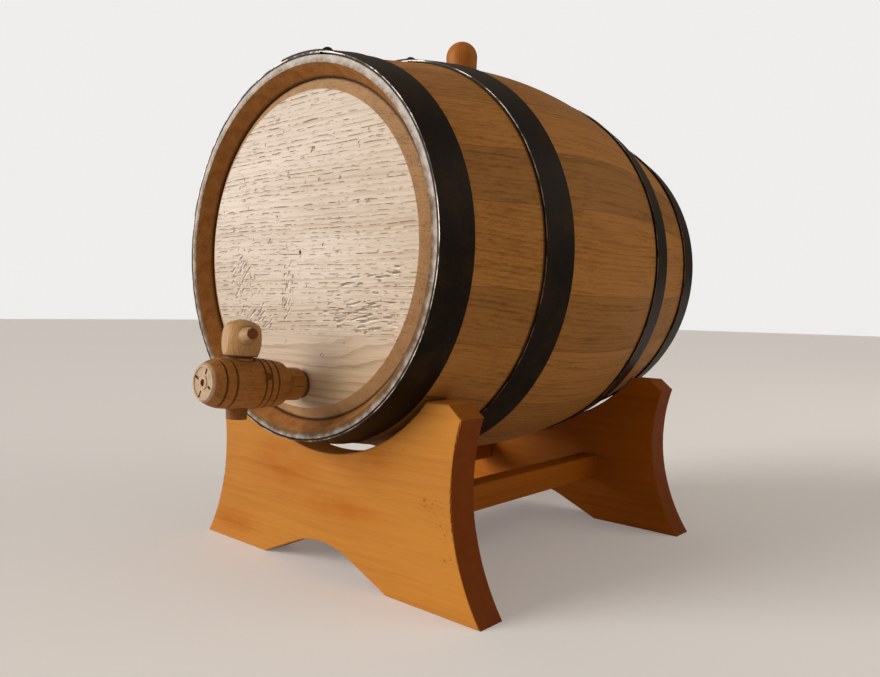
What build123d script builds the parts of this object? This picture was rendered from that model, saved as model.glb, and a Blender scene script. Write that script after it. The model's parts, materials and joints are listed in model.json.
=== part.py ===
from build123d import *
import os
from math import acos, atan2, cos, degrees, hypot, pi, radians, sin, sqrt, tan

os.makedirs("parts", exist_ok=True)

# A small oak cask lying on a two-board stand, with a wooden tap and a wooden bung.
# Millimetres and degrees. +Z is up, the cask's axis runs along Y and the tap faces -Y.

# ---- cask ----
barrel_length = 250.0  # from chime to chime
bilge_radius = 110.0  # bare wood at mid-length
chime_drop = 17.8  # how much smaller the bare wood is at the chimes
belly_arc = 285.0  # lengthwise curve about mid-length; the ends run straight
stave_thickness = 12.5
stave_shares = (  # widths round the cask, as shares of the whole turn
    22.1, 15.4, 17.9, 16.4, 17.8, 22.0, 16.6, 19.2, 17.1, 18.8,
    16.2, 19.6, 17.4, 18.3, 16.9, 19.4, 17.2, 18.1, 18.0, 15.6,
)
bung_stave = 5  # the stave turned to the top, which takes the bung
chime_land = 3.4  # flat width of the staves' ends
chime_fall = 5.4  # how far the inner bevel of the chime falls towards the axis
head_recess = 5.0  # from the chime down to the head's face
head_thickness = 12.0
head_bevel_depth = 3.4  # slope round the head's face, down to the croze
head_bevel_width = 5.8
tongue = 4.0  # thickness of the head's edge in the croze
croze_depth = 3.2
croze_play = 0.1
heading_joints = (-0.54, 0.31)  # joints between heading boards, as shares of the flat's radius
head_dowel_radius = 2.5
head_dowel_length = 16.0
head_dowel_spread = 72.0  # between the two dowels of one joint
mark_radius = 0.95  # of the turning mark left in the middle of a head
mark_depth = 2.0
mark_place = (-2.0, -0.8)  # from the cask's axis

# ---- hoops ----
hoop_thickness = 1.2
hoop_play = 0.12  # between a hoop and the wood
head_hoop_width = 19.0
bilge_hoop_near = 44.4  # from mid-length to the bilge hoop's wide edge
bilge_hoop_width = 18.3
lap_length = 18.0  # degrees that the strip's two ends overlap
lap_ramp = 7.0  # degrees over which the outer end climbs on to the inner one
rivet_spacing = 11.0  # degrees between the two rivets of a lap
rivet_radius = 1.5
rivet_head_radius = 3.0
rivet_head_height = 1.9
head_lap_angle = 88.5  # where the laps lie, from +X towards +Z
bilge_lap_angle = 91.0

# ---- bung ----
bung_radius = 8.0  # of the tapered plug where it leaves the stave
bung_taper = 0.08  # radius lost per millimetre of depth
bung_tip = 3.5  # how far the plug reaches into the cask
bung_knob_radius = 9.3
bung_knob_height = 23.0  # top of the knob above the cask
bung_waist = 0.5  # the knob narrows by this much at its foot

# ---- tap ----
tap_edge = 11.5  # from the rim of the head's flat to the tap's axis
tap_tilt = 4.0  # the tap points this much upward
tap_length = 55.6  # from the head's face to the tap's nose
tap_belly_radius = 12.05
tap_shank_radius = 8.0
tap_shank_length = 11.0
tap_shoulder_length = 4.0
tap_shoulder_radius = 10.6
tap_nose_radius = 8.0
tap_nose_length = 8.6
tap_grooves = (21.7, 25.8, 29.2, 44.7, 49.6)  # turned grooves, from the head's face
tap_groove_radius = 0.6
nose_rim = 1.0  # width of the rim left round the tap's end
nose_boss_radius = 3.2
nose_boss_hole = 1.6
nose_sink = 0.35  # depth of the end's turned ring
tenon_radius = 6.8  # where the tap enters the head
tenon_taper = 0.03
tenon_length = 16.0
flow_radius = 2.75
spur_slots = 4
spur_turn = -21.0
spur_place = 5.6  # from the tap's axis to the middle of each slot
spur_length = 3.2
spur_width = 1.1
spur_depth = 1.2
key_station = 36.5  # from the head's face to the key's axis
key_turn = -17.0  # the key as it stands, shut
key_radius = 6.0  # of the tapered plug at the top of the tap
key_taper = 0.045
key_tail = 4.5  # how far the plug stands out below the tap
grip_radius = 9.3  # at its widest
grip_height = 21.0  # of the widest part over the tap's axis
grip_foot_radius = 7.6
grip_shoulder_radius = 7.9  # where the side turns into the top
grip_shoulder_height = 26.6
grip_top = 29.4
grip_round = 2.0
grip_flat = 7.9  # from the key's axis to each of the grip's two flats
pin_height = 20.4  # where the pin through the grip crosses the key's axis
pin_rise = 10.0  # the pin's end points this much upward
pin_radius = 4.7
pin_tip_radius = 2.5
pin_reach = 15.3
pin_seat = 6.5  # from the key's axis to where the pin starts to narrow
port_radius = 2.5

# ---- stand ----
belly_clearance = 53.8  # from the floor to the lowest wood of the cask
board_thickness = 16.5
board_setback = 0.3  # between a head hoop and the board beside it
saddle_angle = 45.4  # from straight down to the edge the cask rests on
throat_gap = 3.1  # extra depth at the bottom of the saddle
horn_width = 13.4  # flat top beside the saddle
horn_chamfer = 6.2
waist_out = 15.7  # waist beyond the saddle's edge
waist_share = 0.6  # height of the waist, as a share of the board's height
foot_flare = 17.5
foot_length = 56.5
arch_height = 15.4
arch_crown = 20.0  # half-width of the arch's round top
arch_crown_drop = 3.8
board_round = 0.8
rail_spacing = 85.5
rail_width = 11.5
rail_height = 14.0
rail_floor = 28.5  # from the floor to the rails
rail_dowel_radius = 2.5
rail_dowel_length = 22.0
rail_dowel_spacing = 7.0

# ---- fits ----
rest_gap = 0.3  # between pieces that only rest on each other
turn_gap = 0.05  # all round the key, the tap's tenon and the bung

# ---- worked out from the sizes above ----
half_length = barrel_length / 2
chime_radius = bilge_radius - chime_drop
arc_centre = bilge_radius - belly_arc
to_chime = hypot(half_length, chime_radius - arc_centre)
end_slope = pi / 2 - atan2(chime_radius - arc_centre, half_length) - acos(belly_arc / to_chime)
belly_half = belly_arc * sin(end_slope)


def outer_radius(along):
    """Bare wood's radius at a distance from mid-length."""
    if abs(along) <= belly_half:
        return arc_centre + sqrt(belly_arc**2 - along**2)
    return chime_radius + (half_length - abs(along)) * tan(end_slope)


def inner_radius(along):
    """Radius of the hollow on its straight stretch towards a head."""
    return outer_radius(along) - stave_thickness / cos(end_slope)


wall_radius = chime_radius - chime_land - chime_fall
croze_radius = wall_radius + croze_depth
head_face = half_length - head_recess
croze_outer = head_face - head_bevel_depth
croze_inner = croze_outer - tongue
head_back = head_face - head_thickness
head_flat_radius = wall_radius - head_bevel_width

tilt = radians(tap_tilt)
front_reach = head_face + tap_length * cos(tilt) + tap_nose_radius * sin(tilt)
mid_y = (front_reach - half_length) / 2
axis_height = bilge_radius + belly_clearance
centre = (0, mid_y, axis_height)
barrel_axis = Axis(centre, (0, -1, 0))

board_face = half_length - head_hoop_width - board_setback
board_back = board_face - board_thickness
rest_radius = outer_radius(board_back) + rest_gap
saddle_half = rest_radius * sin(radians(saddle_angle))
board_top = axis_height - rest_radius * cos(radians(saddle_angle))
throat_height = axis_height - rest_radius - throat_gap
waist_half = saddle_half + waist_out
waist_height = waist_share * board_top
foot_half = waist_half + foot_flare
arch_half = foot_half - foot_length

tap_out = Vector(0, -cos(tilt), sin(tilt))
tap_up = Vector(0, sin(tilt), cos(tilt))
tap_root = Vector(0, mid_y - head_face, axis_height - head_flat_radius + tap_edge)
tap_plane = Plane(origin=tap_root, x_dir=tap_out, z_dir=(-1, 0, 0))
tap_axis = Axis(tap_root, tap_out)
key_root = tap_root + tap_out * key_station
turn = radians(key_turn)
key_side = Vector(cos(turn), 0, 0) - tap_out * sin(turn)
key_plane = Plane(origin=key_root, x_dir=key_side, z_dir=key_side.cross(tap_up))
key_axis = Axis(key_root, tap_up)


def section_plane(angle):
    """Plane through the cask's axis: x runs outward at the angle, y along the cask."""
    a = radians(angle)
    return Plane(origin=centre, x_dir=(cos(a), 0, sin(a)), z_dir=(-sin(a), 0, cos(a)))


def save(part, name):
    part.label = name
    export_step(part, f"parts/{name}.step")


# ---- staves ----
def bung_cutter(play):
    """Half profile of the bung's tapered plug, seen from its side."""
    deep = stave_thickness + bung_tip
    wide = bung_radius + bung_taper * 2 + play
    narrow = bung_radius - bung_taper * deep + play
    Polyline((0, 2), (wide, 2), (narrow, -deep), (0, -deep), close=True)


bung_plane = Plane(origin=(0, mid_y, axis_height + bilge_radius), x_dir=(1, 0, 0), z_dir=(0, -1, 0))
bung_axis = Axis((0, mid_y, 0), (0, 0, 1))


def make_stave(name, start, width, bored):
    with BuildPart() as stave:
        with BuildSketch(section_plane(start)):
            with BuildLine():
                belly = CenterArc((arc_centre, 0), belly_arc, 0, degrees(end_slope))
                hollow = CenterArc((arc_centre, 0), belly_arc - stave_thickness, 0, degrees(end_slope))
                Polyline(
                    belly @ 1,
                    (chime_radius, half_length),
                    (chime_radius - chime_land, half_length),
                    (wall_radius, croze_outer),
                    (croze_radius, croze_outer),
                    (croze_radius, croze_inner),
                    (inner_radius(croze_inner), croze_inner),
                    hollow @ 1,
                )
                mirror(about=Plane.XZ)
            make_face()
        revolve(axis=barrel_axis, revolution_arc=width)
        if bored:
            with BuildSketch(bung_plane):
                with BuildLine():
                    bung_cutter(turn_gap)
                make_face()
            revolve(axis=bung_axis, mode=Mode.SUBTRACT)
    save(stave.part, name)


shares = sum(stave_shares)
widths = [360 * share / shares for share in stave_shares]
angle = 90 - sum(widths[:bung_stave]) - widths[bung_stave] / 2
for number, width in enumerate(widths):
    bored = number == bung_stave
    name = "stave_bung" if bored else f"stave_{number + 1:02d}"
    make_stave(name, angle, width, bored)
    angle += width


# ---- heads ----
def tenon_cutter(end, play):
    """Half profile of the tap's tapered tenon, from its tip to just outside the head's face."""
    tip = tenon_radius - tenon_taper * tenon_length + play
    mouth = tenon_radius + tenon_taper * end + play
    Polyline((-tenon_length, 0), (-tenon_length, tip), (end, mouth), (end, 0), close=True)


head_levels = [-wall_radius * 2] + [share * head_flat_radius for share in heading_joints] + [wall_radius * 2]
dowel_place = (head_face + head_back) / 2


def make_heading_board(name, side, lower, upper, tapped):
    """One board of a head: side is -1 at the front and 1 at the back."""
    inner_rim = inner_radius(head_back) - 6
    with BuildPart() as board:
        with BuildSketch(section_plane(0)):
            with BuildLine():
                Polyline(
                    (0, side * head_back),
                    (inner_rim, side * head_back),
                    (inner_radius(croze_inner) - 0.5, side * croze_inner),
                    (croze_radius - croze_play, side * croze_inner),
                    (croze_radius - croze_play, side * croze_outer),
                    (wall_radius, side * croze_outer),
                    (head_flat_radius, side * head_face),
                    (0, side * head_face),
                    close=True,
                )
            make_face()
        revolve(axis=barrel_axis)
        split(bisect_by=Plane.XY.offset(axis_height + lower), keep=Keep.TOP)
        split(bisect_by=Plane.XY.offset(axis_height + upper), keep=Keep.BOTTOM)
        with Locations(*dowel_centres(side, (lower, upper))):
            Cylinder(head_dowel_radius, head_dowel_length, mode=Mode.SUBTRACT)
        if tapped:
            with BuildSketch(tap_plane):
                with BuildLine():
                    tenon_cutter(2, turn_gap)
                make_face()
            revolve(axis=tap_axis, mode=Mode.SUBTRACT)
        if lower < mark_place[1] < upper:
            across, up = mark_place
            face = Plane(origin=(across, mid_y + side * head_face, axis_height + up), z_dir=(0, side, 0))
            with BuildSketch(face):
                Circle(mark_radius)
            extrude(amount=-mark_depth, mode=Mode.SUBTRACT)
    save(board.part, name)


def dowel_centres(side, levels):
    joints = [level for level in levels if level in head_levels[1:-1]]
    return [
        (x, mid_y + side * dowel_place, axis_height + level)
        for level in joints
        for x in (-head_dowel_spread / 2, head_dowel_spread / 2)
    ]


for end, side in (("front", -1), ("rear", 1)):
    for number, place in enumerate(("lower", "middle", "upper")):
        make_heading_board(
            f"head_{end}_{place}",
            side,
            head_levels[number],
            head_levels[number + 1],
            end == "front" and place == "lower",
        )

with BuildPart() as head_dowels:
    for side in (-1, 1):
        with Locations(*dowel_centres(side, head_levels)):
            Cylinder(head_dowel_radius, head_dowel_length)
save(head_dowels.part, "head_dowels")


# ---- hoops ----
def hoop_section(near, far, level):
    """Section of a hoop's strip, raised over the wood by so many thicknesses."""
    lift = hoop_play + level * hoop_thickness
    Polyline(
        (outer_radius(near) + lift, near),
        (outer_radius(near) + lift + hoop_thickness, near),
        (outer_radius(far) + lift + hoop_thickness, far),
        (outer_radius(far) + lift, far),
        close=True,
    )


def rivet_plane(near, far, angle):
    """Plane on the wood under a hoop's middle, its z standing out along the rivet."""
    middle = (near + far) / 2
    rise = atan2(outer_radius(near) - outer_radius(far), abs(far) - abs(near))
    radius = (outer_radius(near) + outer_radius(far)) / 2 + hoop_play
    a = radians(angle)
    spot = Vector(radius * cos(a), middle, radius * sin(a)) + Vector(*centre)
    lean = sin(rise) if far > 0 else -sin(rise)
    outward = (cos(rise) * cos(a), lean, cos(rise) * sin(a))
    return Plane(origin=spot, x_dir=(-sin(a), 0, cos(a)), z_dir=outward)


def rivet_angles(lap):
    return lap - rivet_spacing / 2, lap + rivet_spacing / 2


def make_hoop(name, near, far, lap):
    start = lap - lap_length / 2
    with BuildPart() as hoop:
        with BuildSketch(section_plane(start)):
            with BuildLine():
                hoop_section(near, far, 0)
            make_face()
        revolve(axis=barrel_axis, revolution_arc=360 - lap_ramp)
        with BuildSketch(section_plane(start)):
            with BuildLine():
                hoop_section(near, far, 1)
            make_face()
        revolve(axis=barrel_axis, revolution_arc=lap_length)
        steps = 3
        for step in range(steps + 1):
            level = step / steps
            with BuildSketch(section_plane(start - lap_ramp * (1 - level))):
                with BuildLine():
                    hoop_section(near, far, level)
                make_face()
        loft(ruled=True)
        for angle in rivet_angles(lap):
            with Locations(rivet_plane(near, far, angle)):
                Cylinder(rivet_radius, 4 * hoop_thickness, mode=Mode.SUBTRACT)
    save(hoop.part, name)


head_edges = (half_length - head_hoop_width, half_length)
bilge_edges = (bilge_hoop_near, bilge_hoop_near + bilge_hoop_width)
hoops = {
    "hoop_front_head": (-head_edges[0], -head_edges[1], head_lap_angle),
    "hoop_front_bilge": (-bilge_edges[0], -bilge_edges[1], bilge_lap_angle),
    "hoop_rear_bilge": (bilge_edges[0], bilge_edges[1], bilge_lap_angle),
    "hoop_rear_head": (head_edges[0], head_edges[1], head_lap_angle),
}
for name, (near, far, lap) in hoops.items():
    make_hoop(name, near, far, lap)

with BuildPart() as rivet:
    with BuildSketch(Plane.XZ):
        with BuildLine():
            shank_top = 2 * hoop_thickness
            rivet_top = shank_top + rivet_head_height
            Polyline(
                (0, rivet_top), (0, 0), (rivet_radius, 0), (rivet_radius, shank_top),
                (rivet_head_radius, shank_top),
            )
            dome = (rivet_head_radius**2 + rivet_head_height**2) / (2 * rivet_head_height)
            rim = degrees(acos(rivet_head_radius / dome))
            CenterArc((0, rivet_top - dome), dome, rim, 90 - rim)
        make_face()
    revolve(axis=Axis.Z)

with BuildPart() as hoop_rivets:
    for near, far, lap in hoops.values():
        with Locations(*[rivet_plane(near, far, angle) for angle in rivet_angles(lap)]):
            add(rivet.part)
save(hoop_rivets.part, "hoop_rivets")

# ---- bung ----
with BuildPart() as bung:
    with BuildSketch(bung_plane):
        with BuildLine():
            bung_cutter(0)
        make_face()
    revolve(axis=bung_axis)
    with BuildSketch(bung_plane):
        with BuildLine():
            knob_top = bung_knob_height - bung_knob_radius
            Polyline(
                (0, bung_knob_height), (0, rest_gap), (bung_knob_radius - bung_waist, rest_gap),
                (bung_knob_radius, knob_top),
            )
            CenterArc((0, knob_top), bung_knob_radius, 0, 90)
        make_face()
    revolve(axis=bung_axis)
save(bung.part, "bung")


# ---- tap ----
def key_cutter(low, high, play):
    """Half profile of the key's tapered plug between two heights over the tap's axis."""

    def at(height):
        return key_radius - key_taper * (tap_belly_radius - height) + play

    Polyline((0, low), (at(low), low), (at(high), high), (0, high), close=True)


def arc_height(first, middle, last, station):
    """Height at a station of the upward-bulging arc through three points."""
    arc = ThreePointArc(first, middle, last)
    return arc.arc_center.Y + sqrt(arc.radius**2 - (station - arc.arc_center.X) ** 2)


bead_start = rest_gap + tap_shank_radius * tan(tilt)
bead_end = bead_start + 3
shoulder_end = tap_shank_length + tap_shoulder_length
nose_start = tap_length - tap_nose_length
belly_points = (
    (shoulder_end, tap_shoulder_radius),
    (key_station, tap_belly_radius),
    (nose_start, tap_belly_radius - 0.55),
)
nose_points = (
    belly_points[2],
    (tap_length - 2.6, tap_nose_radius + 1.7),
    (tap_length, tap_nose_radius),
)
groove_places = [
    (station, arc_height(*(belly_points if station < nose_start else nose_points), station))
    for station in tap_grooves
]

with BuildPart() as tap_body:
    with BuildSketch(tap_plane):
        with BuildLine():
            tenon_cutter(bead_end, 0)
        make_face()
    revolve(axis=tap_axis)
    with BuildSketch(tap_plane):
        with BuildLine():
            EllipticalCenterArc(
                (bead_end, 0), bead_end - bead_start, tap_shank_radius, 90, arc_size=90
            )
            Polyline(
                (bead_end, tap_shank_radius),
                (tap_shank_length, tap_shank_radius),
                (shoulder_end, tap_shoulder_radius),
            )
            ThreePointArc(*belly_points)
            ThreePointArc(*nose_points)
            Polyline((tap_length, tap_nose_radius), (tap_length, 0), (bead_start, 0))
        make_face()
    revolve(axis=tap_axis)
    with BuildSketch(tap_plane):
        with Locations(*groove_places):
            Circle(tap_groove_radius)
    revolve(axis=tap_axis, mode=Mode.SUBTRACT)
    with BuildSketch(key_plane):
        with BuildLine():
            key_cutter(-tap_belly_radius - 2, tap_belly_radius + 2, turn_gap)
        make_face()
    revolve(axis=key_axis, mode=Mode.SUBTRACT)
    with BuildSketch(Plane(origin=tap_root - tap_out * tenon_length, z_dir=tap_out)):
        Circle(flow_radius)
    extrude(amount=tenon_length + key_station - key_radius / 2, mode=Mode.SUBTRACT)
    nose = Plane(origin=tap_root + tap_out * tap_length, x_dir=(1, 0, 0), z_dir=tap_out)
    with BuildSketch(nose):
        Circle(tap_nose_radius - nose_rim)
        Circle(nose_boss_radius, mode=Mode.SUBTRACT)
    extrude(amount=-nose_sink, mode=Mode.SUBTRACT)
    with BuildSketch(nose):
        Circle(nose_boss_hole)
    extrude(amount=-spur_depth, mode=Mode.SUBTRACT)
    with BuildSketch(nose):
        with PolarLocations(spur_place, spur_slots, start_angle=spur_turn):
            Rectangle(spur_length, spur_width)
    extrude(amount=-spur_depth, mode=Mode.SUBTRACT)
save(tap_body.part, "tap_body")

key_foot = -tap_belly_radius - key_tail
key_neck = tap_belly_radius + rest_gap
dome_rise = grip_top - grip_shoulder_height
dome_radius = (grip_shoulder_radius**2 + dome_rise**2) / (2 * dome_rise)
dome_start = degrees(acos(grip_shoulder_radius / dome_radius))
rise = radians(pin_rise)
pin_side = key_side * cos(rise) + tap_up * sin(rise)
pin_centre = key_root + tap_up * pin_height

with BuildPart() as tap_key:
    with BuildSketch(key_plane):
        with BuildLine():
            key_cutter(key_foot, key_neck, 0)
        make_face()
    revolve(axis=key_axis)
    with BuildSketch(key_plane):
        with BuildLine():
            Polyline((0, grip_top), (0, key_neck), (grip_foot_radius, key_neck))
            ThreePointArc(
                (grip_foot_radius, key_neck),
                (grip_radius, grip_height),
                (grip_shoulder_radius, grip_shoulder_height),
            )
            CenterArc((0, grip_top - dome_radius), dome_radius, dome_start, 90 - dome_start)
        make_face()
    revolve(axis=key_axis)
    shoulder = tap_key.edges().filter_by(GeomType.CIRCLE).filter_by(
        lambda edge: abs(edge.radius - grip_shoulder_radius) < 0.01
    )
    fillet(shoulder, grip_round)
    for side in (-1, 1):
        with BuildSketch(key_plane.offset(side * grip_flat)):
            with Locations((0, grip_height)):
                Rectangle(4 * grip_radius, 2 * (grip_top - grip_height + rest_gap))
        extrude(amount=side * grip_radius, mode=Mode.SUBTRACT)
    for side in (-1, 1):
        with BuildSketch(Plane(origin=pin_centre, x_dir=pin_side * side, z_dir=key_plane.z_dir * side)):
            with BuildLine():
                Polyline(
                    (0, 0), (pin_reach, 0), (pin_reach, pin_tip_radius), (pin_seat, pin_radius), (0, pin_radius),
                    close=True,
                )
            make_face()
        revolve(axis=Axis(pin_centre, pin_side))
    with BuildSketch(Plane(origin=key_root + tap_up * key_foot, z_dir=tap_up)):
        Circle(port_radius)
    extrude(amount=-key_foot + port_radius, mode=Mode.SUBTRACT)
    with BuildSketch(Plane(origin=key_root, z_dir=key_side)):
        Circle(port_radius)
    extrude(amount=2 * key_radius, mode=Mode.SUBTRACT)
save(tap_key.part, "tap_key")


# ---- stand ----
rail_middle = rail_floor + rail_height / 2


def rail_dowel_points(x):
    return [
        (x, rail_middle - rail_dowel_spacing / 2),
        (x, rail_middle + rail_dowel_spacing / 2),
    ]


def saddle_point(x):
    """A point of the saddle's round between its throat and its edge."""
    rise = board_top - throat_height
    radius = (saddle_half**2 + rise**2) / (2 * rise)
    return x, throat_height + radius - sqrt(radius**2 - x**2)


def make_board(name, side):
    """side is -1 for the front board and 1 for the rear one."""
    face = Plane(origin=(0, mid_y + side * board_face, 0), x_dir=(1, 0, 0), z_dir=(0, -1, 0))
    inner = Plane(origin=(0, mid_y + side * board_back, 0), x_dir=(1, 0, 0), z_dir=(0, -1, 0))
    horn_out = saddle_half + horn_width
    shoulder_height = board_top - horn_chamfer
    dz = shoulder_height - waist_height
    waist_arc = (foot_flare**2 + waist_height**2) / (2 * foot_flare)
    shoulder_half = waist_half + waist_arc - sqrt(waist_arc**2 - dz**2)
    with BuildPart() as board:
        with BuildSketch(face):
            with BuildLine():
                Line((0, arch_height), (0, throat_height))
                ThreePointArc(
                    (0, throat_height),
                    saddle_point(saddle_half / 2),
                    (saddle_half, board_top),
                )
                Polyline((saddle_half, board_top), (horn_out, board_top), (shoulder_half, shoulder_height))
                ThreePointArc(
                    (shoulder_half, shoulder_height), (waist_half, waist_height), (foot_half, 0)
                )
                Polyline(
                    (foot_half, 0), (arch_half, 0), (arch_crown, arch_height - arch_crown_drop)
                )
                crown_radius = (arch_crown**2 + arch_crown_drop**2) / (2 * arch_crown_drop)
                RadiusArc((arch_crown, arch_height - arch_crown_drop), (0, arch_height), -crown_radius)
            make_face()
            mirror(about=Plane.YZ)
        extrude(amount=side * board_thickness)
        fillet(board.edges().group_by(Axis.Y)[0] + board.edges().group_by(Axis.Y)[-1], board_round)
        with BuildSketch(inner):
            for x in (-rail_spacing / 2, rail_spacing / 2):
                with Locations(*rail_dowel_points(x)):
                    Circle(rail_dowel_radius)
        extrude(amount=-side * rail_dowel_length / 2, mode=Mode.SUBTRACT)
    save(board.part, name)


make_board("stand_board_front", -1)
make_board("stand_board_rear", 1)

for name, x in (("stand_rail_left", -rail_spacing / 2), ("stand_rail_right", rail_spacing / 2)):
    with BuildPart() as rail:
        with BuildSketch(Plane(origin=(0, mid_y + board_back, 0), x_dir=(1, 0, 0), z_dir=(0, -1, 0))):
            with Locations((x, rail_middle)):
                Rectangle(rail_width, rail_height)
        extrude(amount=2 * board_back)
        chamfer(rail.edges().filter_by(Axis.Y), 0.5)
        for side in (-1, 1):
            end = Plane(origin=(0, mid_y + side * board_back, 0), x_dir=(1, 0, 0), z_dir=(0, -1, 0))
            with BuildSketch(end):
                with Locations(*rail_dowel_points(x)):
                    Circle(rail_dowel_radius)
            extrude(amount=side * rail_dowel_length / 2, mode=Mode.SUBTRACT)
    save(rail.part, name)

with BuildPart() as rail_dowels:
    for side in (-1, 1):
        inner = Plane(origin=(0, mid_y + side * board_back, 0), x_dir=(1, 0, 0), z_dir=(0, -1, 0))
        with BuildSketch(inner):
            for x in (-rail_spacing / 2, rail_spacing / 2):
                with Locations(*rail_dowel_points(x)):
                    Circle(rail_dowel_radius)
        extrude(amount=rail_dowel_length / 2, both=True)
save(rail_dowels.part, "rail_dowels")
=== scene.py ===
import json
import math

import bpy
from mathutils import Euler, Matrix, Vector


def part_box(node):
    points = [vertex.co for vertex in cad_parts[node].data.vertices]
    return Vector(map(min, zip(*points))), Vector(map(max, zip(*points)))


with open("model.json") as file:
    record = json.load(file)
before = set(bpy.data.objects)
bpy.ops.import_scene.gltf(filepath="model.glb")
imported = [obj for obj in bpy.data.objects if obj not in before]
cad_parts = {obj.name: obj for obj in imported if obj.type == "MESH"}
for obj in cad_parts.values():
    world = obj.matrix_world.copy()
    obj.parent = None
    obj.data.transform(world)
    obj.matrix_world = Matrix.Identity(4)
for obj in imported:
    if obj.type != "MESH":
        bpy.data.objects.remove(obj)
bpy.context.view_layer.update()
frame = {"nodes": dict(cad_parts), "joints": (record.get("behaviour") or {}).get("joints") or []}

nodes = frame["nodes"]

# the cask's axis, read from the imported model
hoopFront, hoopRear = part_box("hoop_front_head")[0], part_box("hoop_rear_head")[1]
headLow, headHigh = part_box("head_front_middle")
caskMiddle = Vector(
    (0, (hoopFront.y + hoopRear.y) / 2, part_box("head_front_lower")[0].z + (headHigh.x - headLow.x) / 2)
)
print("cask middle", [round(value, 4) for value in caskMiddle])


# small helpers for node trees
def isSocket(value):
    return isinstance(value, bpy.types.NodeSocket)


def feed(tree, value, socket):
    if isSocket(value):
        tree.links.new(value, socket)
    elif value is not None:
        socket.default_value = value


def calc(tree, operation, first, second=None, third=None, clamp=False):
    made = tree.nodes.new("ShaderNodeMath")
    made.operation = operation
    made.use_clamp = clamp
    for index, value in enumerate((first, second, third)):
        feed(tree, value, made.inputs[index])
    return made.outputs[0]


def plus(tree, first, second, clamp=False):
    return calc(tree, "ADD", first, second, clamp=clamp)


def minus(tree, first, second):
    return calc(tree, "SUBTRACT", first, second)


def times(tree, first, second):
    return calc(tree, "MULTIPLY", first, second)


def scaled(tree, value, factor, offset, clamp=False):
    return calc(tree, "MULTIPLY_ADD", value, factor, offset, clamp=clamp)


def highest(tree, first, second):
    return calc(tree, "MAXIMUM", first, second)


def size(tree, value):
    return calc(tree, "ABSOLUTE", value)


def hypotenuse(tree, first, second):
    return calc(tree, "SQRT", plus(tree, times(tree, first, first), times(tree, second, second)))


def stretch(tree, vector, along, across, depth):
    made = tree.nodes.new("ShaderNodeVectorMath")
    made.operation = "MULTIPLY"
    feed(tree, vector, made.inputs[0])
    made.inputs[1].default_value = (along, across, depth)
    return made.outputs[0]


def noise(tree, vector, scale=1.0, detail=2.0, rough=0.5, bend=0.0):
    made = tree.nodes.new("ShaderNodeTexNoise")
    feed(tree, vector, made.inputs["Vector"])
    made.inputs["Scale"].default_value = scale
    made.inputs["Detail"].default_value = detail
    made.inputs["Roughness"].default_value = rough
    made.inputs["Distortion"].default_value = bend
    return made.outputs["Fac"]


def cells(tree, vector, scale):
    made = tree.nodes.new("ShaderNodeTexVoronoi")
    feed(tree, vector, made.inputs["Vector"])
    made.inputs["Scale"].default_value = scale
    return made.outputs["Distance"]


def step(tree, value, low, high, toLow=0.0, toHigh=1.0):
    made = tree.nodes.new("ShaderNodeMapRange")
    made.interpolation_type = "SMOOTHSTEP"
    feed(tree, value, made.inputs["Value"])
    feed(tree, low, made.inputs["From Min"])
    feed(tree, high, made.inputs["From Max"])
    feed(tree, toLow, made.inputs["To Min"])
    feed(tree, toHigh, made.inputs["To Max"])
    return made.outputs["Result"]


def blendColour(tree, factor, first, second, kind="MIX"):
    made = tree.nodes.new("ShaderNodeMix")
    made.data_type = "RGBA"
    made.blend_type = kind
    feed(tree, factor, made.inputs[0])
    feed(tree, first if isSocket(first) else tuple(first) + (1,), made.inputs[6])
    feed(tree, second if isSocket(second) else tuple(second) + (1,), made.inputs[7])
    return made.outputs[2]


def split(tree, vector):
    made = tree.nodes.new("ShaderNodeSeparateXYZ")
    feed(tree, vector, made.inputs[0])
    return made.outputs[0], made.outputs[1], made.outputs[2]


def join(tree, x, y, z):
    made = tree.nodes.new("ShaderNodeCombineXYZ")
    for index, value in enumerate((x, y, z)):
        feed(tree, value, made.inputs[index])
    return made.outputs[0]


def newGroup(name, inputs, outputs):
    group = bpy.data.node_groups.new(name, "ShaderNodeTree")
    for label, kind, value in inputs:
        socket = group.interface.new_socket(name=label, in_out="INPUT", socket_type=kind)
        if value is not None:
            socket.default_value = value
    for label, kind in outputs:
        group.interface.new_socket(name=label, in_out="OUTPUT", socket_type=kind)
    source = group.nodes.new("NodeGroupInput")
    sink = group.nodes.new("NodeGroupOutput")
    return group, source.outputs, sink.inputs


def useGroup(tree, group, **values):
    made = tree.nodes.new("ShaderNodeGroup")
    made.node_tree = group
    for label, value in values.items():
        socket = made.inputs[label]
        if not isSocket(value) and socket.type == "RGBA":
            value = tuple(value) + (1,)
        feed(tree, value, socket)
    return made.outputs


floatSocket, vectorSocket, colourSocket = "NodeSocketFloat", "NodeSocketVector", "NodeSocketColor"


def buildCaskCoords():
    # turns a point round the cask's axis into (along, across, depth), the axis being Y through the origin
    group, given, out = newGroup("caskCoords", [("Point", vectorSocket, None)],
                                 [("Wood", vectorSocket), ("Across", floatSocket), ("Radius", floatSocket)])
    x, y, z = split(group, given["Point"])
    angle = calc(group, "ARCTAN2", z, x)
    radius = hypotenuse(group, x, z)
    across = times(group, angle, radius)
    group.links.new(join(group, y, times(group, angle, 0.1), radius), out["Wood"])
    group.links.new(across, out["Across"])
    group.links.new(radius, out["Radius"])
    return group


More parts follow.
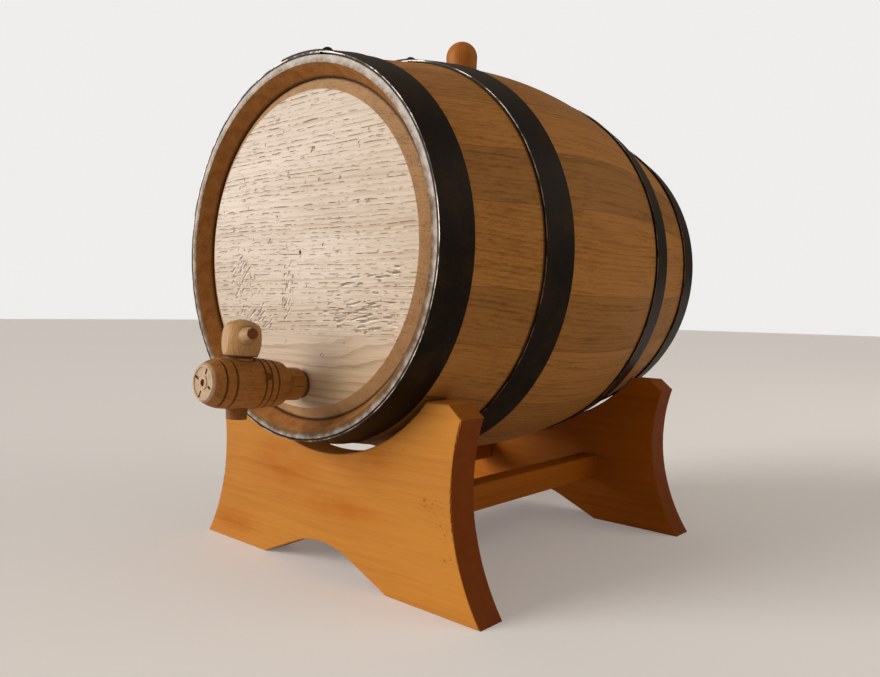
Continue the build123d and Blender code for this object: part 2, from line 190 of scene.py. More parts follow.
def buildWoodGrain():
    # grain runs along X, rings step across Y; gives a colour, a height and the masks behind them
    group, given, out = newGroup(
        "woodGrain",
        [
            ("Wood", vectorSocket, None), ("Ring Spacing", floatSocket, 0.004),
            ("Wander", floatSocket, 0.01), ("Ring Strength", floatSocket, 0.5),
            ("Fibre Strength", floatSocket, 0.3), ("Blotch Strength", floatSocket, 0.3),
            ("Pore Strength", floatSocket, 0.8), ("Pore Cover", floatSocket, 0.5),
            ("Pore Width", floatSocket, 0.2), ("Streak Strength", floatSocket, 0.3),
            ("Light", colourSocket, None), ("Dark", colourSocket, None), ("Pore", colourSocket, None)
        ],
        [("Color", colourSocket), ("Height", floatSocket), ("Blotch", floatSocket)]
    )
    wood = given["Wood"]
    along, across, depth = split(group, wood)
    sway = minus(group, noise(group, stretch(group, wood, 5, 16, 16), 1.0, 2.0), 0.5)
    ripple = minus(group, noise(group, stretch(group, wood, 45, 120, 120), 1.0, 2.0), 0.5)
    place = scaled(group, sway, given["Wander"], across)
    place = scaled(group, ripple, times(group, given["Wander"], 0.09), place)
    place = scaled(group, depth, 0.35, place)
    uneven = noise(group, join(group, 0.0, times(group, place, 55), 0.0), 1.0, 2.0)
    turn = plus(group, calc(group, "DIVIDE", place, given["Ring Spacing"]), times(group, uneven, 3.5))
    saw = calc(group, "FRACT", turn)
    row = calc(group, "FLOOR", turn)
    # each ring has its own strength, a dark line and a row of open pores
    weight = noise(group, join(group, times(group, row, 3.71), times(group, along, 6), 0.0), 1.0, 1.0)
    late = times(group, step(group, saw, 0.35, 0.9), step(group, saw, 0.93, 1.0, 1.0, 0.0))
    late = times(group, late, step(group, weight, 0.3, 0.7, 0.3, 1.0))
    band = times(group, step(group, saw, 0.0, times(group, given["Pore Width"], 0.4)),
                step(group, saw, times(group, given["Pore Width"], 0.5), given["Pore Width"], 1.0, 0.0))
    dash = noise(
        group, join(group, times(group, along, 170), times(group, row, 5.37), times(group, saw, 2.0)), 1.0,
        2.0, 0.6
    )
    least = scaled(group, given["Pore Cover"], -0.28, 0.70)
    pores = times(group, band, step(group, dash, least, plus(group, least, 0.10)))
    pores = times(group, pores, step(group, weight, 0.32, 0.55, 0.15, 1.0))
    loose = step(group, noise(group, stretch(group, wood, 150, 2300, 2300), 1.0, 1.0, 0.4), 0.69, 0.76)
    pores = highest(group, pores, times(group, loose, given["Pore Cover"]))
    fibre = noise(group, stretch(group, wood, 18, 900, 900), 1.0, 3.0, 0.6)
    fine = noise(group, stretch(group, wood, 60, 2600, 2600), 1.0, 2.0)
    blotch = noise(group, stretch(group, wood, 9, 26, 26), 1.0, 3.0, 0.55)
    shade = times(group, late, given["Ring Strength"])
    shade = scaled(group, minus(group, fibre, 0.5), given["Fibre Strength"], shade)
    shade = scaled(group, minus(group, fine, 0.5), times(group, given["Fibre Strength"], 0.6), shade)
    streak = noise(group, stretch(group, wood, 5, 230, 230), 1.0, 3.0, 0.65)
    shade = scaled(group, minus(group, streak, 0.5), given["Streak Strength"], shade)
    shade = scaled(group, minus(group, blotch, 0.45), given["Blotch Strength"], shade, clamp=True)
    colour = blendColour(group, shade, given["Light"], given["Dark"])
    colour = blendColour(group, times(group, pores, given["Pore Strength"]), colour, given["Pore"])
    height = scaled(group, pores, -1.0, times(group, fibre, 0.3))
    height = scaled(group, late, 0.15, height)
    group.links.new(colour, out["Color"])
    group.links.new(height, out["Height"])
    group.links.new(blotch, out["Blotch"])
    return group


def buildEndGrain():
    # the look of a sawn or turned end: open pores as dots, faint rings
    group, given, out = newGroup(
        "endGrain",
        [
            ("Point", vectorSocket, None), ("Light", colourSocket, None), ("Dark", colourSocket, None),
            ("Dot Strength", floatSocket, 0.7)
        ],
        [("Color", colourSocket), ("Height", floatSocket)]
    )
    dots = step(group, cells(group, given["Point"], 900.0), 0.10, 0.26, 1.0, 0.0)
    patches = noise(group, given["Point"], 180.0, 3.0, 0.6)
    grit = noise(group, given["Point"], 1400.0, 2.0)
    dots = times(group, dots, step(group, patches, 0.42, 0.62))
    shade = scaled(group, minus(group, grit, 0.5), 0.6, patches, clamp=True)
    colour = blendColour(group, shade, given["Light"], given["Dark"])
    colour = blendColour(
        group, times(group, dots, given["Dot Strength"]), colour,
        blendColour(group, 1.0, given["Dark"], (0.25, 0.2, 0.15), "MULTIPLY")
    )
    group.links.new(colour, out["Color"])
    group.links.new(scaled(group, dots, -1.0, times(group, grit, 0.4)), out["Height"])
    return group


caskCoords = buildCaskCoords()
woodGrain = buildWoodGrain()
endGrain = buildEndGrain()


def newMaterial(name, centre=(0, 0, 0), turn=(0, 0, 0), order=(0, 1, 2), shift=(0, 0, 0)):
    # a Principled material; its point is measured from the centre and turned, its axes put in grain order
    material = bpy.data.materials.new(name)
    material.use_nodes = True
    tree = material.node_tree
    shader = tree.nodes["Principled BSDF"]
    coords = tree.nodes.new("ShaderNodeTexCoord")
    mapping = tree.nodes.new("ShaderNodeMapping")
    mapping.inputs["Rotation"].default_value = turn
    mapping.inputs["Location"].default_value = -(Euler(turn).to_matrix() @ Vector(centre))
    tree.links.new(coords.outputs["Object"], mapping.inputs["Vector"])
    point = mapping.outputs[0]
    axes = split(tree, point)
    wood = join(tree, *[plus(tree, axes[axis], shift[index]) for index, axis in enumerate(order)])
    return material, tree, shader, point, wood


def normals(tree):
    geometry = tree.nodes.new("ShaderNodeNewGeometry")
    return [size(tree, value) for value in split(tree, geometry.outputs["True Normal"])]


def bumpFrom(tree, shader, height, strength, distance):
    bump = tree.nodes.new("ShaderNodeBump")
    bump.inputs["Strength"].default_value = strength
    bump.inputs["Distance"].default_value = distance
    feed(tree, height, bump.inputs["Height"])
    tree.links.new(bump.outputs[0], shader.inputs["Normal"])


def gloss(shader, level, tint):
    shader.inputs["Specular IOR Level"].default_value = level
    shader.inputs["Specular Tint"].default_value = tuple(tint) + (1,)


def dress(name, material):
    slots = nodes[name].data.materials
    slots.clear()
    slots.append(material)


staves = {
    "light": (0.46, 0.200, 0.046),
    "dark": (0.17, 0.058, 0.008),
    "pore": (0.035, 0.012, 0.003),
    "land": (0.74, 0.70, 0.665),
    "landDark": (0.21, 0.125, 0.068),
    "landFade": 0.55,  # how much grayer the chime's end is at the top
    "wall": (0.50, 0.220, 0.062),
    "wallDark": (0.19, 0.068, 0.015),
    # dark colour for the joint lines and grime, and for painted shade beside the hoops and in the chime's
    # groove
    "dirt": (0.022, 0.009, 0.003),
    "hoopEdges": (0.0444, 0.0627, 0.1060),  # from mid-length
    "chimeStart": 0.1161,  # where the head's groove ends, from mid-length
    "chimeEnd": 0.1249,
    "bevelTop": 0.0890,  # radius where the chime's bevel meets its flat end
    "roughness": 0.50,
    "sheen": 0.13,
    "sheenTint": (1.0, 0.78, 0.48),
    # tone of the stave that holds each angle round the cask, in degrees from +X towards +Z
    "tones": {-18: 0.80, 0: 1.04, 19: 0.82, 36: 1.08, 52: 0.94, 70: 1.05, 90: 0.98, -35: 0.96, -52: 0.84},
    "otherTones": (0.86, 1.06, 0.94, 1.04, 0.80, 1.0),
}


def staveSpan(name):
    angles = [math.atan2(v.co.z - caskMiddle.z, v.co.x) for v in nodes[name].data.vertices]
    if max(angles) - min(angles) > math.pi:
        angles = [value % (2 * math.pi) for value in angles]
    return min(angles), max(angles)


def staveMaterial(name, number):
    low, high = staveSpan(name)
    middle, half = (low + high) / 2, (high - low) / 2
    tone = staves["otherTones"][number % len(staves["otherTones"])]
    for angle, value in staves["tones"].items():
        if low <= math.radians(angle) < high:
            tone = value
    material, tree, shader, point, wood = newMaterial(
        "oakStave" + name[6:].title(), caskMiddle, (0, middle, 0)
    )
    cask = useGroup(tree, caskCoords, Point=point)
    shifted = tree.nodes.new("ShaderNodeVectorMath")
    tree.links.new(cask["Wood"], shifted.inputs[0])
    shifted.inputs[1].default_value = (number * 0.377, number * 0.0613, number * 0.029)
    light = [value * tone for value in staves["light"]]
    dark = [value * tone for value in staves["dark"]]
    grain = useGroup(tree, woodGrain, Wood=shifted.outputs[0], Light=light, Dark=dark, Pore=staves["pore"],
                     **{"Ring Spacing": 0.0025, "Wander": 0.006, "Ring Strength": 0.42, "Fibre Strength": 1.2,
                        "Blotch Strength": 0.8, "Pore Strength": 0.7, "Pore Cover": 0.55, "Pore Width": 0.16,
                        "Streak Strength": 1.3})
    x, y, z = split(tree, point)
    distance = size(tree, y)
    # dark joint lines, and grime with painted shade in the corner beside each hoop edge
    edge = minus(tree, times(tree, cask["Radius"], half), size(tree, cask["Across"]))
    joint = step(tree, edge, 0.00005, 0.0003, 0.45, 0.0)
    grimeAndShade = 0.0
    for hoopEdge in staves["hoopEdges"]:
        near = step(tree, size(tree, minus(tree, distance, hoopEdge)), 0.0003, 0.0016, 0.7, 0.0)
        grimeAndShade = highest(tree, grimeAndShade, near)
    colour = blendColour(tree, joint, grain["Color"], staves["dirt"])
    colour = blendColour(tree, grimeAndShade, colour, staves["dirt"])
    # the chime: gray end land, grayer towards the top and the outer corner, and a brown inner bevel
    upper = staves["landFade"] * min(max(math.sin(middle) + 0.35, 0.0), 1.0)
    mottle = noise(tree, point, 230.0, 5.0, 0.7)
    outer = step(tree, cask["Radius"], staves["bevelTop"], staves["bevelTop"] + 0.003, 0.0, 0.45)
    gray = plus(tree, plus(tree, outer, upper), times(tree, minus(tree, mottle, 0.5), 1.3), clamp=True)
    land = blendColour(tree, step(tree, gray, 0.0, 0.95), staves["landDark"], staves["land"])
    ends = useGroup(
        tree, endGrain, Point=point, Light=(1.0, 1.0, 1.0), Dark=(0.55, 0.50, 0.45), **{"Dot Strength": 0.5}
    )
    land = blendColour(tree, 1.0, land, ends["Color"], "MULTIPLY")
    wall = useGroup(
        tree, endGrain, Point=point, Light=staves["wall"], Dark=staves["wallDark"], **{"Dot Strength": 1.0}
    )
    past = step(tree, distance, staves["chimeEnd"], staves["chimeEnd"] + 0.00009)
    within = step(tree, cask["Radius"], staves["bevelTop"] - 0.0001, staves["bevelTop"] + 0.0001, 1.0, 0.0)
    inside = times(
        tree, step(tree, distance, staves["chimeStart"] - 0.0001, staves["chimeStart"] + 0.0001), within
    )
    colour = blendColour(tree, inside, colour, wall["Color"])
    # painted shade: the chime wall darkens next to the head's groove
    valleyShade = step(tree, distance, staves["chimeStart"] + 0.0007, staves["chimeStart"] + 0.0029, 0.9, 0.0)
    colour = blendColour(tree, times(tree, inside, valleyShade), colour, staves["dirt"])
    colour = blendColour(tree, past, colour, land)
    tree.links.new(colour, shader.inputs["Base Color"])
    rough = scaled(tree, grain["Blotch"], 0.2, staves["roughness"] - 0.08)
    tree.links.new(scaled(tree, past, 0.3, rough), shader.inputs["Roughness"])
    gloss(shader, staves["sheen"], staves["sheenTint"])
    rim = highest(tree, past, inside)
    chimeHeight = plus(tree, times(tree, ends["Height"], 1.2), times(tree, mottle, 3.0))
    height = scaled(tree, rim, chimeHeight, times(tree, grain["Height"], minus(tree, 1.0, rim)))
    bumpFrom(tree, shader, height, 0.5, 0.0003)
    return material


staveNames = sorted(
    (name for name in nodes if name.startswith("stave_")), key=lambda name: staveSpan(name)[0]
)
for number, name in enumerate(staveNames):
    dress(name, staveMaterial(name, number))
print("staves dressed:", len(staveNames))

heads = {
    "light": (0.57, 0.46, 0.35),
    "dark": (0.35, 0.215, 0.105),
    "pore": (0.19, 0.105, 0.048),
    "bevel": (0.58, 0.345, 0.155),
    "bevelDark": (0.33, 0.165, 0.060),
    "lowerLight": (0.54, 0.385, 0.235),
    "lowerDark": (0.30, 0.170, 0.075),
    "dirt": (0.030, 0.012, 0.004),
    "flatRadius": 0.0776,
    "wallRadius": 0.0834,
    "tornDark": (0.22, 0.125, 0.065),
    "tornLip": (0.86, 0.82, 0.78),
    "roughness": 0.42,
    "sheen": 0.5,
    # torn grain: place across and up from the cask's axis, half width, half height, slant in degrees
    # and fineness along the tears
    "tears": (
        (-0.051, -0.013, 0.013, 0.020, 50, 210),
        (-0.012, -0.020, 0.006, 0.024, 62, 260),
        (0.034, -0.0145, 0.016, 0.005, 8, 60),
        (0.044, -0.030, 0.036, 0.013, 6, 105),
        (-0.038, -0.034, 0.026, 0.012, 34, 230),
        (0.058, -0.012, 0.016, 0.006, 4, 90),
    ),
}


def roundPatch(tree, x, z, place, wide, high, soft):
    across = calc(tree, "DIVIDE", minus(tree, x, place[0]), wide)
    rise = calc(tree, "DIVIDE", minus(tree, z, place[1]), high)
    away = hypotenuse(tree, across, rise)
    return step(tree, away, 1.0 - soft, 1.0, 1.0, 0.0)


def headMaterial(name, front, lower):
    number = 1 if front else 5
    material, tree, shader, point, wood = newMaterial(
        "oak" + name.title().replace("_", ""), caskMiddle, (0, 0, 0), (0, 2, 1),
        (0.31 * number, 0, 0.05 * number)
    )
    x, y, z = split(tree, point)
    # painted shade: the boards get browner and darker towards the bottom and towards the +X side, where less
    # light falls
    low = step(tree, z, -0.075, -0.020, 1.0, 0.0)
    sideShade = step(tree, x, 0.020, 0.075, 0.0, 0.35)
    paintedShade = plus(tree, low, sideShade, clamp=True)
    light = blendColour(tree, paintedShade, heads["light"], heads["lowerLight"])
    dark = blendColour(tree, paintedShade, heads["dark"], heads["lowerDark"])
    values = {
        "Ring Spacing": 0.0042 if lower else 0.0024, "Wander": 0.045 if lower else 0.012,
        "Ring Strength": 0.6, "Fibre Strength": 0.9, "Blotch Strength": 0.7,
        "Pore Strength": 0.35 if lower else 0.95, "Pore Cover": 0.1 if lower else 0.80, "Pore Width": 0.22,
        "Streak Strength": 0.9
    }
    grain = useGroup(tree, woodGrain, Wood=wood, Light=light, Dark=dark, Pore=heads["pore"], **values)
    radius = hypotenuse(tree, x, z)
    onBevel = step(tree, radius, heads["flatRadius"] - 0.0002, heads["flatRadius"] + 0.0002)
    bevel = useGroup(
        tree, endGrain, Point=point, Light=heads["bevel"], Dark=heads["bevelDark"], **{"Dot Strength": 0.8}
    )
    colour = grain["Color"]
    height = grain["Height"]
    rough = scaled(tree, grain["Blotch"], 0.25, heads["roughness"] - 0.10)
    if front:
        # short slanted tears in loose patches, each with its own slant, with a painted highlight along each
        # tear's lower lip
        ragged = times(tree, minus(tree, noise(tree, stretch(tree, point, 210, 0, 260), 1.0, 3.0), 0.5), 2.4)
        tear, lipHighlight = 0.0, 0.0
        for px, pz, wide, high, slant, fineness in heads["tears"]:
            patch = step(
                tree, plus(tree, roundPatch(tree, x, z, (px, pz), wide, high, 0.8), ragged), 0.35, 0.60
            )
            lines = []
            for lift in (0.0, 0.0007):
                turned = tree.nodes.new("ShaderNodeMapping")
                turned.inputs["Rotation"].default_value = (0, math.radians(slant), 0)
                turned.inputs["Location"].default_value = (0, 0, lift)
                tree.links.new(point, turned.inputs["Vector"])
                splitLine = noise(
                    tree, stretch(tree, turned.outputs[0], fineness, 0, 700), 1.0, 2.0, 0.55, 0.5
                )
                lines.append(times(tree, patch, step(tree, splitLine, 0.55, 0.68)))
            tear = highest(tree, tear, lines[0])
            lipHighlight = highest(tree, lipHighlight, minus(tree, lines[1], lines[0]))
        tear = times(
            tree, tear,
            step(tree, radius, heads["flatRadius"] - 0.0076, heads["flatRadius"] - 0.0016, 1.0, 0.0)
        )
        colour = blendColour(tree, times(tree, tear, 0.4), colour, heads["tornDark"])
        # painted highlight: the lower lip of each tear is lightened
        colour = blendColour(tree, times(tree, lipHighlight, 0.8), colour, heads["tornLip"])
        height = scaled(tree, tear, -4.5, height)
        rough = scaled(tree, tear, 0.2, rough)
    colour = blendColour(tree, onBevel, colour, bevel["Color"])
    height = scaled(tree, times(tree, onBevel, bevel["Height"]), 1.5, height)
    # painted shade: a dark ring in the groove where the head meets the chime wall
    seamShade = step(tree, radius, heads["wallRadius"] - 0.0012, heads["wallRadius"], 0.0, 0.9)
    colour = blendColour(tree, seamShade, colour, heads["dirt"])
    tree.links.new(colour, shader.inputs["Base Color"])
    tree.links.new(scaled(tree, onBevel, 0.15, rough), shader.inputs["Roughness"])
    gloss(shader, heads["sheen"], (1.0, 0.97, 0.94))
    bumpFrom(tree, shader, height, 0.8, 0.0003)
    return material


headNames = sorted(name for name in nodes if name.startswith("head_") and name != "head_dowels")
for name in headNames:
    dress(name, headMaterial(name, "front" in name, "lower" in name))
print("heads dressed:", len(headNames))

steel = {
    "body": (0.0065, 0.0038, 0.0018),
    "rust": (0.026, 0.0125, 0.0045),
    "worn": (0.46, 0.42, 0.37),
    "roughness": 0.46,
    "sheen": 0.10,
    "coneStart": 0.0922,  # the wood's radius at the chimes
    "coneRise": 0.17838,  # and how fast it grows from there
    "end": 0.125,  # the chimes, from mid-length
}


def steelMaterial(name, wear):
    material, tree, shader, point, wood = newMaterial(name, caskMiddle)
    patches = noise(tree, point, 55.0, 5.0, 0.68)
    grit = noise(tree, point, 900.0, 2.0, 0.6)
    shade = scaled(tree, minus(tree, grit, 0.5), 1.1, step(tree, patches, 0.42, 0.72), clamp=True)
    colour = blendColour(tree, shade, steel["body"], steel["rust"])
    if wear:
        # the strip's outer corner is rubbed bright on its narrow edges
        x, y, z = split(tree, point)
        radius = hypotenuse(tree, x, z)
        cone = scaled(tree, minus(tree, steel["end"], size(tree, y)), steel["coneRise"], steel["coneStart"])
        lift = minus(tree, radius, cone)
        breaks = noise(tree, point, 90.0, 4.0, 0.7)
        edge = times(tree, step(tree, normals(tree)[1], 0.6, 0.8), step(tree, lift, 0.00075, 0.00100))
        edge = times(tree, edge, step(tree, lift, 0.00150, 0.00165, 1.0, 0.0))
        edge = times(tree, edge, step(tree, breaks, 0.40, 0.60, 0.10, wear))
        colour = blendColour(tree, edge, colour, steel["worn"])
        tree.links.new(times(tree, edge, 0.8), shader.inputs["Metallic"])
    tree.links.new(colour, shader.inputs["Base Color"])
    tree.links.new(scaled(tree, patches, 0.25, steel["roughness"] - 0.12), shader.inputs["Roughness"])
    gloss(shader, steel["sheen"], (1.0, 0.86, 0.70))
    bumpFrom(tree, shader, plus(tree, patches, times(tree, grit, 0.3)), 0.35, 0.0003)
    return material


hoopSteel = steelMaterial("hoopSteel", 0.9)
rivetSteel = steelMaterial("rivetSteel", 0.0)
for name in nodes:
    if name.startswith("hoop_"):
        dress(name, rivetSteel if name == "hoop_rivets" else hoopSteel)
print("hoops dressed")

stand = {
    "light": (0.55, 0.225, 0.036),
    "dark": (0.36, 0.105, 0.010),
    "end": (0.25, 0.055, 0.002),
    "endDark": (0.16, 0.030, 0.0008),
    # painted shade: darker copies of the stand wood for the rear board and the rails, which sit in the cask's
    # shade
    "shadyLight": (0.40, 0.115, 0.007),
    "shadyDark": (0.22, 0.048, 0.002),
    "roughness": 0.45,
    "sheen": 0.12,
    "sheenTint": (1.0, 0.72, 0.45),
    # deeper orange patches on the front board: place across and up, half width, half height
    "patches": (
        (-0.030, 0.050, 0.040, 0.026), (0.028, 0.064, 0.040, 0.014), (0.012, 0.036, 0.050, 0.010),
        (-0.075, 0.012, 0.030, 0.010)
    ),
    "patchTint": (0.86, 0.64, 0.36),
    "specks": ((0.074, 0.048, 0.010, 0.007), (0.083, 0.038, 0.009, 0.006), (0.087, 0.026, 0.008, 0.003)),
    "speck": (0.16, 0.060, 0.014),
}


def boardMaterial(name, order, shift, endAxis, light, dark, marked=False):
    material, tree, shader, point, wood = newMaterial(name, (0, 0, 0), (0, 0, 0), order, shift)
    grain = useGroup(tree, woodGrain, Wood=wood, Light=light, Dark=dark, Pore=(0.16, 0.040, 0.006),
                     **{"Ring Spacing": 0.0062, "Wander": 0.030, "Ring Strength": 0.22, "Fibre Strength": 0.6,
                        "Blotch Strength": 0.9, "Pore Strength": 0.5, "Pore Cover": 0.16, "Pore Width": 0.12,
                        "Streak Strength": 0.5})
    colour = grain["Color"]
    if marked:
        x, y, z = split(tree, point)
        cloud = minus(tree, noise(tree, stretch(tree, point, 30, 0, 70), 1.0, 3.0, 0.6), 0.35)
        deep = 0.0
        for px, pz, wide, high in stand["patches"]:
            deep = highest(tree, deep, roundPatch(tree, x, z, (px, pz), wide, high, 0.95))
        deep = times(tree, deep, step(tree, cloud, -0.15, 0.35))
        colour = blendColour(
            tree, deep, colour, blendColour(tree, 1.0, colour, stand["patchTint"], "MULTIPLY")
        )
        dots = step(tree, noise(tree, stretch(tree, point, 330, 0, 900), 1.0, 2.0), 0.56, 0.64)
        spots = 0.0
        for px, pz, wide, high in stand["specks"]:
            spots = highest(tree, spots, roundPatch(tree, x, z, (px, pz), wide, high, 0.8))
        colour = blendColour(tree, times(tree, times(tree, dots, spots), 0.7), colour, stand["speck"])
    ends = useGroup(
        tree, endGrain, Point=point, Light=stand["end"], Dark=stand["endDark"], **{"Dot Strength": 0.35}
    )
    cut = step(tree, normals(tree)[endAxis], 0.35, 0.85)
    colour = blendColour(tree, cut, colour, ends["Color"])
    tree.links.new(colour, shader.inputs["Base Color"])
    tree.links.new(scaled(tree, grain["Blotch"], 0.25, stand["roughness"] - 0.1), shader.inputs["Roughness"])
    gloss(shader, stand["sheen"], stand["sheenTint"])
    bumpFrom(tree, shader, grain["Height"], 0.25, 0.0002)
    return material


dress(
    "stand_board_front",
    boardMaterial("boardFrontWood", (0, 2, 1), (0.12, 0.0, 0.0), 0, stand["light"], stand["dark"], True)
)
dress(
    "stand_board_rear",
    boardMaterial("boardRearWood", (0, 2, 1), (0.71, 0.13, 0.0), 0, stand["shadyLight"], stand["shadyDark"])
)
dress(
    "stand_rail_left",
    boardMaterial("railLeftWood", (1, 2, 0), (0.31, 0.2, 0.0), 1, stand["shadyLight"], stand["shadyDark"])
)
dress(
    "stand_rail_right",
    boardMaterial("railRightWood", (1, 2, 0), (0.93, 0.4, 0.0), 1, stand["shadyLight"], stand["shadyDark"])
)
dowelWood = boardMaterial("dowelWood", (1, 2, 0), (0.5, 0.3, 0.0), 1, stand["light"], stand["dark"])
dress("rail_dowels", dowelWood)
dress("head_dowels", dowelWood)
print("stand dressed")

turned = {
    "bungLight": (0.43, 0.140, 0.020),
    "bungDark": (0.22, 0.056, 0.006),
    "tapLight": (0.42, 0.180, 0.045),
    "tapDark": (0.17, 0.052, 0.008),
    "gripLight": (0.56, 0.32, 0.135),
    "gripDark": (0.28, 0.120, 0.030),
    "pore": (0.085, 0.022, 0.004),
    "pale": (0.70, 0.54, 0.38),
    "paleDark": (0.36, 0.20, 0.095),
    "pin": (0.50, 0.31, 0.16),
    "pinEnd": (0.17, 0.055, 0.016),
    # scorch colour, also used for the painted shade at the grip's foot
    "scorch": (0.060, 0.014, 0.003),
    "roughness": 0.5,
    "sheen": 0.2,
    "sheenTint": (1.0, 0.82, 0.62),
    "grooves": (0.0217, 0.0258, 0.0292, 0.0447, 0.0496),  # all along the tap, from its root
    "keyStation": 0.0365,
    "tapLength": 0.0556,
    "noseEdge": 0.0070,  # radius of the mark on the nose
    "keyTurn": -17.0,  # the grip's turn about its own axis, in degrees
    "gripFlat": 0.0079,  # half the distance between the grip's flat sides
    "gripFoot": 0.0121,  # heights above the key's root
    "pinHeight": 0.0204,
    "pinRise": 10.0,  # in degrees
    "pinReach": 0.0153,  # from the grip's axis
    "pinStart": 0.0082,
}


def turnedMaterial(name, centre, turn, order, shift, light, dark, cover=0.5):
    material, tree, shader, point, wood = newMaterial(name, centre, turn, order, shift)
    grain = useGroup(
        tree, woodGrain, Wood=wood, Light=light, Dark=dark, Pore=turned["pore"],
        **{
            "Ring Spacing": 0.0012, "Wander": 0.0012, "Ring Strength": 0.30, "Fibre Strength": 1.1,
            "Blotch Strength": 0.7, "Pore Strength": 0.85, "Pore Cover": cover, "Pore Width": 0.34,
            "Streak Strength": 0.9
        }
    )
    tree.links.new(scaled(tree, grain["Blotch"], 0.2, turned["roughness"] - 0.1), shader.inputs["Roughness"])
    gloss(shader, turned["sheen"], turned["sheenTint"])
    bumpFrom(tree, shader, grain["Height"], 0.45, 0.0002)
    return material, tree, shader, point, grain["Color"]


bungWood, tree, shader, point, colour = turnedMaterial(
    "bungWood", (0, 0, 0), (0, 0, 0), (2, 0, 1), (0.0, 0.2, 0.1), turned["bungLight"], turned["bungDark"]
)
tree.links.new(colour, shader.inputs["Base Color"])
dress("bung", bungWood)

keyJoint = next(joint for joint in frame["joints"] if joint["child"] == "key")
tapJoint = next(joint for joint in frame["joints"] if joint["child"] == "tap")
tapOut = Vector(tapJoint["axis"]).normalized()
tapTilt = math.asin(tapOut.z)
keyRoot = Vector(keyJoint["pos_m"])
tapRoot = keyRoot - tapOut * turned["keyStation"]

tapWood, tree, shader, point, colour = turnedMaterial(
    "tapWood", tapRoot, (tapTilt, 0, 0), (1, 0, 2), (0.4, 0.2, 0.1), turned["tapLight"], turned["tapDark"],
    0.8
)
x, y, z = split(tree, point)
station = times(tree, y, -1.0)
scorch = 0.0
for groove in turned["grooves"]:
    near = step(tree, size(tree, minus(tree, station, groove)), 0.00025, 0.0007, 1.0, 0.0)
    scorch = highest(tree, scorch, near)
foot = step(tree, station, 0.0008, 0.0024, 1.0, 0.0)
scorch = highest(tree, scorch, foot)
radius = hypotenuse(tree, x, z)
colour = blendColour(tree, times(tree, scorch, 0.8), colour, turned["scorch"])
noseEnd = step(tree, station, turned["tapLength"] - 0.0016, turned["tapLength"] - 0.0006)
nose = useGroup(
    tree, endGrain, Point=point, Light=turned["pale"], Dark=turned["paleDark"], **{"Dot Strength": 0.6}
)
colour = blendColour(tree, noseEnd, colour, nose["Color"])
mark = times(
    tree, step(tree, station, turned["tapLength"] - 0.0006, turned["tapLength"] - 0.0003, 1.0, 0.0), noseEnd
)
colour = blendColour(
    tree,
    times(
        tree, times(tree, mark, 0.7),
        step(tree, radius, turned["noseEdge"], turned["noseEdge"] + 0.0004, 1.0, 0.0)
    ),
    colour, turned["scorch"]
)
tree.links.new(colour, shader.inputs["Base Color"])
dress("tap_body", tapWood)

keyWood, tree, shader, point, colour = turnedMaterial(
    "keyWood", keyRoot, (tapTilt, 0, 0), (2, 0, 1), (0.7, 0.1, 0.3), turned["gripLight"],
    turned["gripDark"], 0.6
)
x, y, z = split(tree, point)
turnAngle = math.radians(turned["keyTurn"])
sideways = plus(tree, times(tree, x, math.cos(turnAngle)), times(tree, y, math.sin(turnAngle)))
forwards = minus(tree, times(tree, y, math.cos(turnAngle)), times(tree, x, math.sin(turnAngle)))
flat = step(tree, size(tree, forwards), turned["gripFlat"] - 0.0003, turned["gripFlat"] - 0.0001)
pale = useGroup(
    tree, endGrain, Point=point, Light=turned["pale"], Dark=turned["paleDark"], **{"Dot Strength": 0.4}
)
# the pin leans upward, so its own length is measured along it
rise = math.radians(turned["pinRise"])
lift = minus(tree, z, turned["pinHeight"])
along = size(tree, plus(tree, times(tree, sideways, math.cos(rise)), times(tree, lift, math.sin(rise))))
onPin = step(tree, along, turned["pinStart"], turned["pinStart"] + 0.0004)
colour = blendColour(tree, times(tree, flat, 0.5), colour, pale["Color"])
pin = useGroup(
    tree, endGrain, Point=point, Light=turned["pin"], Dark=turned["paleDark"], **{"Dot Strength": 0.4}
)
colour = blendColour(tree, onPin, colour, pin["Color"])
pinEnd = step(tree, along, turned["pinReach"] - 0.0005, turned["pinReach"] - 0.0001)
colour = blendColour(tree, times(tree, pinEnd, 0.9), colour, turned["pinEnd"])
# painted shade: a dark ring in the crease at the grip's foot
foot = step(tree, size(tree, minus(tree, z, turned["gripFoot"])), 0.0005, 0.0010, 0.85, 0.0)
colour = blendColour(tree, foot, colour, turned["scorch"])
# painted shade: the key's tail below the tap is darkened towards the tap's dark colour
tailShade = step(tree, z, -0.0100, 0.0, 0.8, 0.0)
colour = blendColour(tree, tailShade, colour, turned["tapDark"])
tree.links.new(colour, shader.inputs["Base Color"])
dress("tap_key", keyWood)
print("turned pieces dressed")

studio = {
    "floorColour": (0.82, 0.81, 0.80),
    "floorGlow": 0.16,
    "roomColour": (0.34, 0.292, 0.240),
    "roomLow": (0.115, 0.090, 0.066),
    "seenColour": (0.86, 0.85, 0.84),
    "keyFrom": (-0.62, -1.0, 0.40),
    "keyStrength": 2.5,
    "keyAngle": 38,
    "keyColour": (1.0, 0.97, 0.94),
    "sheenStrip": dict(place=(-1.00, -0.85, 0.36), size=0.30, watts=6.0, colour=(1.0, 0.98, 0.96)),
    "lens": 31.256,
    "shift": (0.02975, -0.00315),
    "cameraPlace": (0.29705, -0.33461, 0.13590),
    "cameraTurn": (42.6781, 87.9942, 1.0778),  # heading, tilt up from straight down, roll
    "rim": dict(place=(1.3, 0.9, 0.9), size=1.2, watts=5.0, colour=(1.0, 0.93, 0.84)),
}


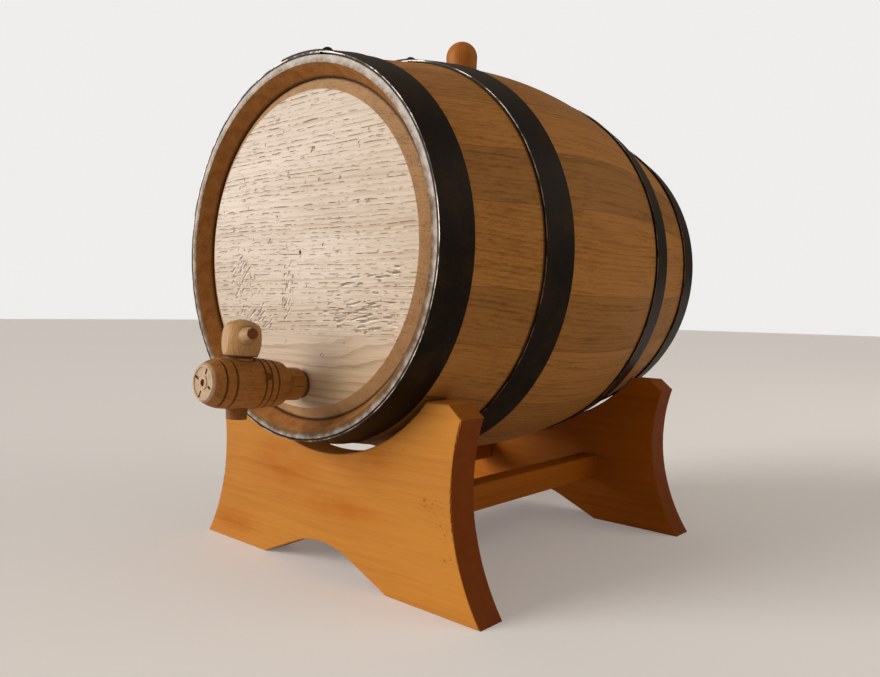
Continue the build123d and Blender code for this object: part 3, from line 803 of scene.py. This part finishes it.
def softLight(name, place, size, watts, colour):
    data = bpy.data.lights.new(name, "AREA")
    data.shape = "SQUARE"
    data.size = size
    data.energy = watts
    data.color = colour
    light = bpy.data.objects.new(name, data)
    bpy.context.scene.collection.objects.link(light)
    light.location = place
    light.rotation_euler = (caskMiddle - Vector(place)).to_track_quat("-Z", "Y").to_euler()
    return light


sun = bpy.data.lights.new("keyLight", "SUN")
sun.energy = studio["keyStrength"]
sun.angle = math.radians(studio["keyAngle"])
sun.color = studio["keyColour"]
keyLight = bpy.data.objects.new("keyLight", sun)
bpy.context.scene.collection.objects.link(keyLight)
keyLight.rotation_euler = (-Vector(studio["keyFrom"])).to_track_quat("-Z", "Y").to_euler()
softLight("rimLight", **studio["rim"])
sheenStrip = softLight("sheenStrip", **studio["sheenStrip"])  # only seen as the soft sheen on the front head
sheenStrip.visible_diffuse = False

bpy.ops.object.select_all(action="DESELECT")
bpy.ops.mesh.primitive_plane_add(size=12, location=(0, 0, 0))
floor = bpy.context.object
floor.name = "floor"
floorMaterial = bpy.data.materials.new("paleFloor")
floorMaterial.use_nodes = True
floorShader = floorMaterial.node_tree.nodes["Principled BSDF"]
floorShader.inputs["Base Color"].default_value = studio["floorColour"] + (1,)
floorShader.inputs["Roughness"].default_value = 0.9
floorShader.inputs["Specular IOR Level"].default_value = 0.1
floorShader.inputs["Emission Color"].default_value = studio["floorColour"] + (1,)
floorTree = floorMaterial.node_tree
floorPath = floorTree.nodes.new("ShaderNodeLightPath")
floorTree.links.new(
    times(floorTree, floorPath.outputs["Is Camera Ray"], studio["floorGlow"]),
    floorShader.inputs["Emission Strength"]
)
floor.data.materials.append(floorMaterial)

world = bpy.data.worlds.new("paleRoom")
bpy.context.scene.world = world
world.use_nodes = True
worldTree = world.node_tree
background = worldTree.nodes["Background"]
path = worldTree.nodes.new("ShaderNodeLightPath")
# the room is brighter overhead than at the level of the floor
skyward = split(worldTree, worldTree.nodes.new("ShaderNodeTexCoord").outputs["Generated"])[2]
room = blendColour(worldTree, step(worldTree, skyward, 0.0, 0.75), studio["roomLow"], studio["roomColour"])
feed(
    worldTree, blendColour(worldTree, path.outputs["Is Camera Ray"], room, studio["seenColour"]),
    background.inputs["Color"]
)

bpy.context.scene.view_settings.view_transform = "Standard"
bpy.context.scene.view_settings.look = "None"

cameraData = bpy.data.cameras.new("camera")
cameraData.sensor_width = 36
cameraData.lens = studio["lens"]
cameraData.shift_x, cameraData.shift_y = studio["shift"]
cameraData.clip_start = 0.01
camera = bpy.data.objects.new("camera", cameraData)
bpy.context.scene.collection.objects.link(camera)
heading, tiltUp, roll = (math.radians(value) for value in studio["cameraTurn"])
aim = Matrix.Rotation(heading, 4, "Z") @ Matrix.Rotation(tiltUp, 4, "X") @ Matrix.Rotation(roll, 4, "Z")
camera.matrix_world = Matrix.Translation(studio["cameraPlace"]) @ aim
bpy.context.scene.camera = camera
print("studio ready")
